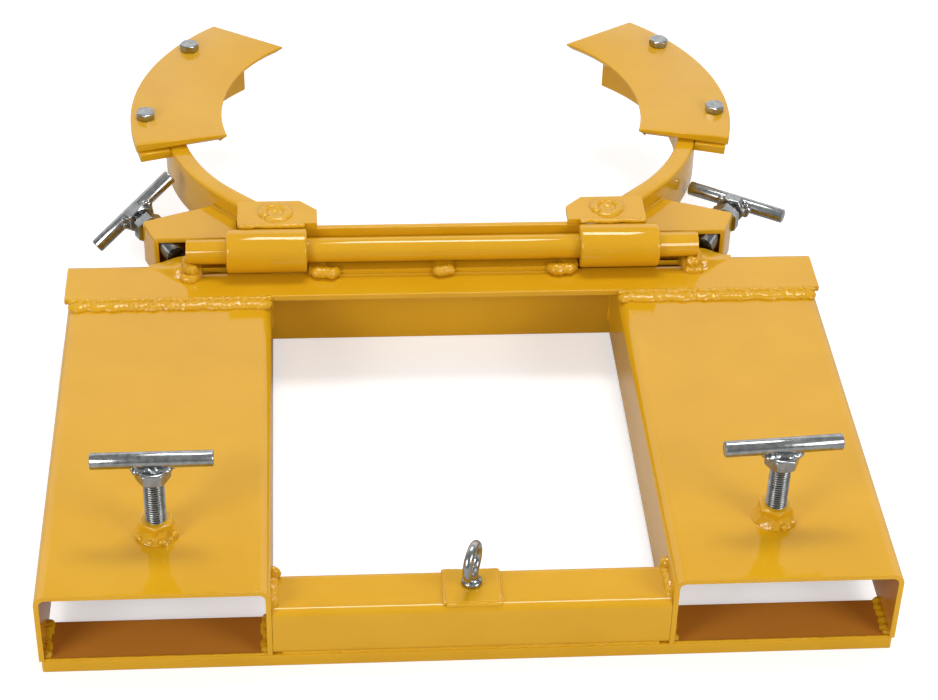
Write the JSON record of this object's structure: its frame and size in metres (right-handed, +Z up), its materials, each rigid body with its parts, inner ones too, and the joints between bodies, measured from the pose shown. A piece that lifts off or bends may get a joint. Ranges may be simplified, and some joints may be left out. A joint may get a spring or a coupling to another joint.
{
  "type": "fork-mounted drum lifter",
  "caption": "Fork-mounted drum lifter: a carrier frame with fork pockets and a hinged jaw head whose screw-closed arms grip a drum.",
  "frame": {"origin": "on the floor, under the middle of the overall length and width", "axes": "+X right, +Y from the truck towards the drum, +Z up"},
  "size_m": [0.762, 0.8918, 0.1789],
  "materials": {
    "golden_enamel": "gloss",
    "zinc_plate": "satin"
  },
  "bodies": {
    "frame": {"floor_strap": "golden_enamel", "rear_cross_tube": "golden_enamel", "front_cross_angle": "golden_enamel", "shaft_seat": "golden_enamel", "hinge_shaft": "golden_enamel", "eye_bolt_pad": "golden_enamel", "eye_bolt": "zinc_plate", "left_fork_pocket": "golden_enamel", "left_shaft_saddle": "golden_enamel", "left_clamp_nut": "golden_enamel", "right_fork_pocket": "golden_enamel", "right_shaft_saddle": "golden_enamel", "right_clamp_nut": "golden_enamel"},
    "head": {"head_back_plate": "golden_enamel", "left_hinge_sleeve": "golden_enamel", "left_top_pivot_plate": "golden_enamel", "left_bottom_pivot_plate": "golden_enamel", "left_pivot_pin": "golden_enamel", "right_hinge_sleeve": "golden_enamel", "right_top_pivot_plate": "golden_enamel", "right_bottom_pivot_plate": "golden_enamel", "right_pivot_pin": "golden_enamel"},
    "left_arm": {"left_jaw_band": "golden_enamel", "left_pad_flange": "golden_enamel", "left_drum_pad": "golden_enamel", "left_lever_box": "golden_enamel", "left_lever_nut": "golden_enamel", "left_pad_bolt_1": "zinc_plate", "left_pad_bolt_2": "zinc_plate", "left_pad_nut_1": "zinc_plate", "left_pad_nut_2": "zinc_plate"},
    "left_closing_shank": {"left_closing_screw": "zinc_plate"},
    "left_closing_handle": {"left_closing_head": "zinc_plate", "left_closing_bar": "zinc_plate"},
    "left_clamp_shank": {"left_clamp_screw": "zinc_plate"},
    "left_clamp_handle": {"left_clamp_head": "zinc_plate", "left_clamp_bar": "zinc_plate"},
    "right_arm": {"right_jaw_band": "golden_enamel", "right_pad_flange": "golden_enamel", "right_drum_pad": "golden_enamel", "right_lever_box": "golden_enamel", "right_lever_nut": "golden_enamel", "right_pad_bolt_1": "zinc_plate", "right_pad_bolt_2": "zinc_plate", "right_pad_nut_1": "zinc_plate", "right_pad_nut_2": "zinc_plate"},
    "right_closing_shank": {"right_closing_screw": "zinc_plate"},
    "right_closing_handle": {"right_closing_head": "zinc_plate", "right_closing_bar": "zinc_plate"},
    "right_clamp_shank": {"right_clamp_screw": "zinc_plate"},
    "right_clamp_handle": {"right_clamp_head": "zinc_plate", "right_clamp_bar": "zinc_plate"}
  },
  "joints": [
    {"name": "head_tilt", "type": "hinge", "parent": "frame", "child": "head", "pos_m": [0, 0.02653, 0.11837], "axis": [1, 0, 0], "range_deg": [0, 75]},
    {"name": "left_arm_swing", "type": "hinge", "parent": "head", "child": "left_arm", "pos_m": [-0.17018, 0.06209, 0.0895], "axis": [0, 0, -1], "range_deg": [-5, 0]},
    {"name": "left_closing_travel", "type": "slide", "parent": "left_arm", "child": "left_closing_shank", "axis": [0.4924, -0.8704, 0], "range_m": [-0.01194, 0]},
    {"name": "left_closing_turn", "type": "hinge", "parent": "left_closing_shank", "child": "left_closing_handle", "pos_m": [-0.31877, 0.12993, 0.10033], "axis": [0.4924, -0.8704, 0], "range_deg": [-1692, 0]},
    {"name": "left_clamp_travel", "type": "slide", "parent": "frame", "child": "left_clamp_shank", "axis": [0, 0, -1], "range_m": [-0.01275, 0.03305]},
    {"name": "left_clamp_turn", "type": "hinge", "parent": "left_clamp_shank", "child": "left_clamp_handle", "pos_m": [-0.27559, -0.36463, 0.15113], "axis": [0, 0, -1], "range_deg": [-1800, 4680]},
    {"name": "right_arm_swing", "type": "hinge", "parent": "head", "child": "right_arm", "pos_m": [0.17018, 0.06209, 0.0895], "axis": [0, 0, 1], "range_deg": [-5, 0]},
    {"name": "right_closing_travel", "type": "slide", "parent": "right_arm", "child": "right_closing_shank", "axis": [-0.4924, -0.8704, 0], "range_m": [-0.01194, 0]},
    {"name": "right_closing_turn", "type": "hinge", "parent": "right_closing_shank", "child": "right_closing_handle", "pos_m": [0.31877, 0.12993, 0.10033], "axis": [-0.4924, -0.8704, 0], "range_deg": [-1692, 0]},
    {"name": "right_clamp_travel", "type": "slide", "parent": "frame", "child": "right_clamp_shank", "axis": [0, 0, -1], "range_m": [-0.01275, 0.03305]},
    {"name": "right_clamp_turn", "type": "hinge", "parent": "right_clamp_shank", "child": "right_clamp_handle", "pos_m": [0.27559, -0.36463, 0.15113], "axis": [0, 0, -1], "range_deg": [-1800, 4680]}
  ],
  "couplings": [
    {"joint": "left_arm_swing", "follows": "left_closing_turn", "ratio": 0.002955},
    {"joint": "left_closing_travel", "follows": "left_closing_turn", "m_per_rad": 0.000404},
    {"joint": "left_clamp_travel", "follows": "left_clamp_turn", "m_per_rad": 0.000404},
    {"joint": "right_arm_swing", "follows": "right_closing_turn", "ratio": 0.002955},
    {"joint": "right_closing_travel", "follows": "right_closing_turn", "m_per_rad": 0.000404},
    {"joint": "right_clamp_travel", "follows": "right_clamp_turn", "m_per_rad": 0.000404}
  ]
}
